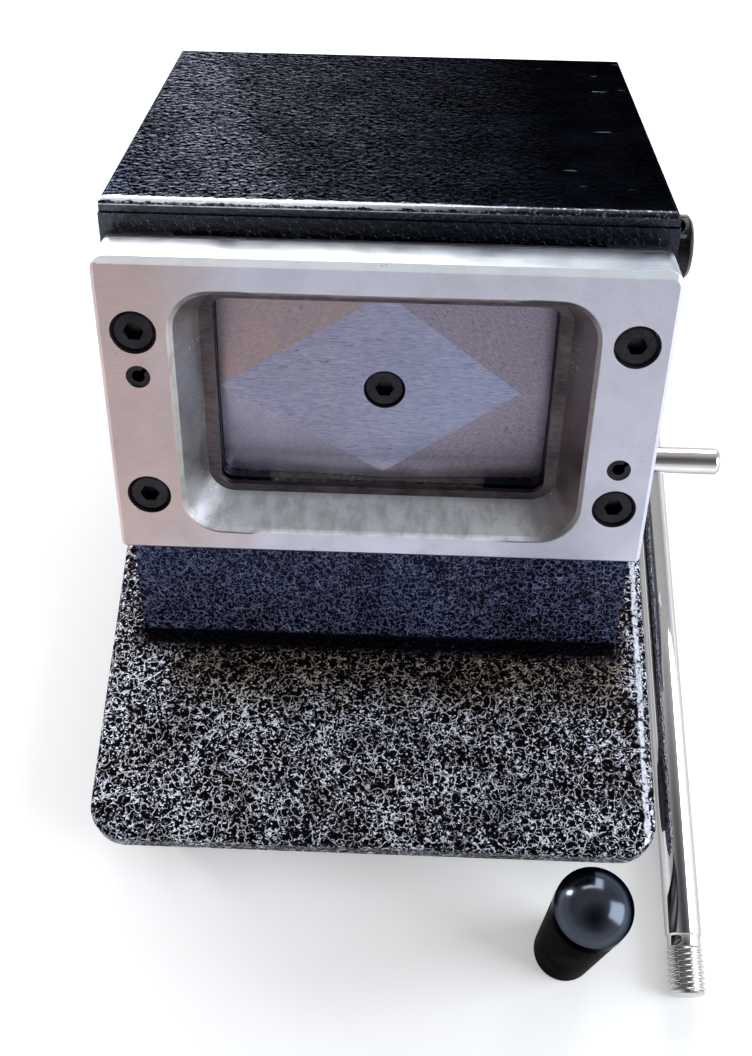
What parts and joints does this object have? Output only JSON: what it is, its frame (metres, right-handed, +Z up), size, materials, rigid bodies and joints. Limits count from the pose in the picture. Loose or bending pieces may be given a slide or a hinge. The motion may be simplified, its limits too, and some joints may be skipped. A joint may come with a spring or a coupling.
{
  "type": "hand lever card cutter",
  "caption": "Slanted bench punch that cuts rounded plastic cards: aluminium die block, eccentric-driven punch, black enamelled body on a base plate, loose lever rod and grip.",
  "frame": {"origin": "centre of the base plate's underside, where the rubber feet are screwed on; the table is 16 mm below it", "axes": "+X to the operator's right, +Y to the back, +Z up"},
  "size_m": [0.1725, 0.2825, 0.142],
  "materials": {
    "base_enamel": "coarse black hammertone enamel",
    "panel_enamel": "fine black hammertone enamel",
    "cover_enamel": "glossy near-black enamel with orange peel",
    "milled_aluminium": "satin milled",
    "die_steel": "dark tool steel",
    "punch_steel": "ground steel",
    "bright_steel": "polished steel",
    "inner_steel": "machined steel",
    "black_oxide": "black oxide",
    "shaft_black": "black oxide",
    "spring_steel": "oiled spring steel",
    "bush_bronze": "sintered bronze",
    "rod_chrome": "bright chrome",
    "foot_rubber": "matte",
    "grip_satin": "satin black",
    "grip_gloss": "gloss black",
    "insert_brass": "turned brass"
  },
  "bodies": {
    "frame": {"base_plate": "base_enamel", "rubber_feet": "foot_rubber", "foot_screws": "inner_steel", "base_screws": "inner_steel", "front_panel": "panel_enamel", "side_panel_left": "panel_enamel", "side_panel_right": "panel_enamel", "rear_panel": "panel_enamel", "frame_screws": "inner_steel", "rear_screws": "black_oxide", "top_cover": "cover_enamel", "cover_dowels": "inner_steel", "cover_screws": "black_oxide", "die_block": "milled_aluminium", "die_plate": "die_steel", "slot_spacer": "die_steel", "sheet_stop_bar": "bright_steel", "die_screws": "black_oxide", "spring_pins": "black_oxide", "stop_pin": "bright_steel", "stop_pin_nut": "inner_steel", "guide_pillars": "bright_steel", "return_springs": "spring_steel", "shaft_bush_left": "bush_bronze", "shaft_bush_right": "bush_bronze"},
    "ram": {"punch": "punch_steel", "punch_screw": "black_oxide", "punch_dowels": "bright_steel", "punch_holder": "inner_steel", "holder_bushes": "bush_bronze", "drive_yoke": "inner_steel", "yoke_screws": "black_oxide"},
    "lever_shaft": {"lever_shaft": "shaft_black", "eccentric_cam": "inner_steel", "cam_key": "bright_steel", "cam_set_screw": "black_oxide", "shaft_spacers": "inner_steel", "shaft_circlip": "spring_steel"},
    "lever_rod": {"lever_rod": "rod_chrome"},
    "grip": {"grip_body": "grip_satin", "grip_insert": "insert_brass", "grip_cap": "grip_gloss"}
  },
  "joints": [
    {"name": "lever_turn", "type": "hinge", "parent": "frame", "child": "lever_shaft", "pos_m": [0, 0.05596, 0.04454], "axis": [1, 0, 0], "range_deg": [0, 84], "stiffness_Nm_per_rad": 0.57, "springref_deg": -11.46},
    {"name": "punch_slide", "type": "slide", "parent": "frame", "child": "ram", "axis": [0, -0.891, 0.454], "range_m": [0, 0.008], "deforming": ["return_springs"]},
    {"name": "lever_rod_lift", "type": "slide", "parent": "frame", "child": "lever_rod", "axis": [0.7071, 0, 0.7071], "range_m": [0, 0.1]},
    {"name": "grip_lift", "type": "slide", "parent": "frame", "child": "grip", "axis": [0, 0, 1], "range_m": [0, 0.1]}
  ],
  "couplings": [
    {"joint": "lever_turn", "follows": "punch_slide", "rad_per_m": 183.26}
  ]
}
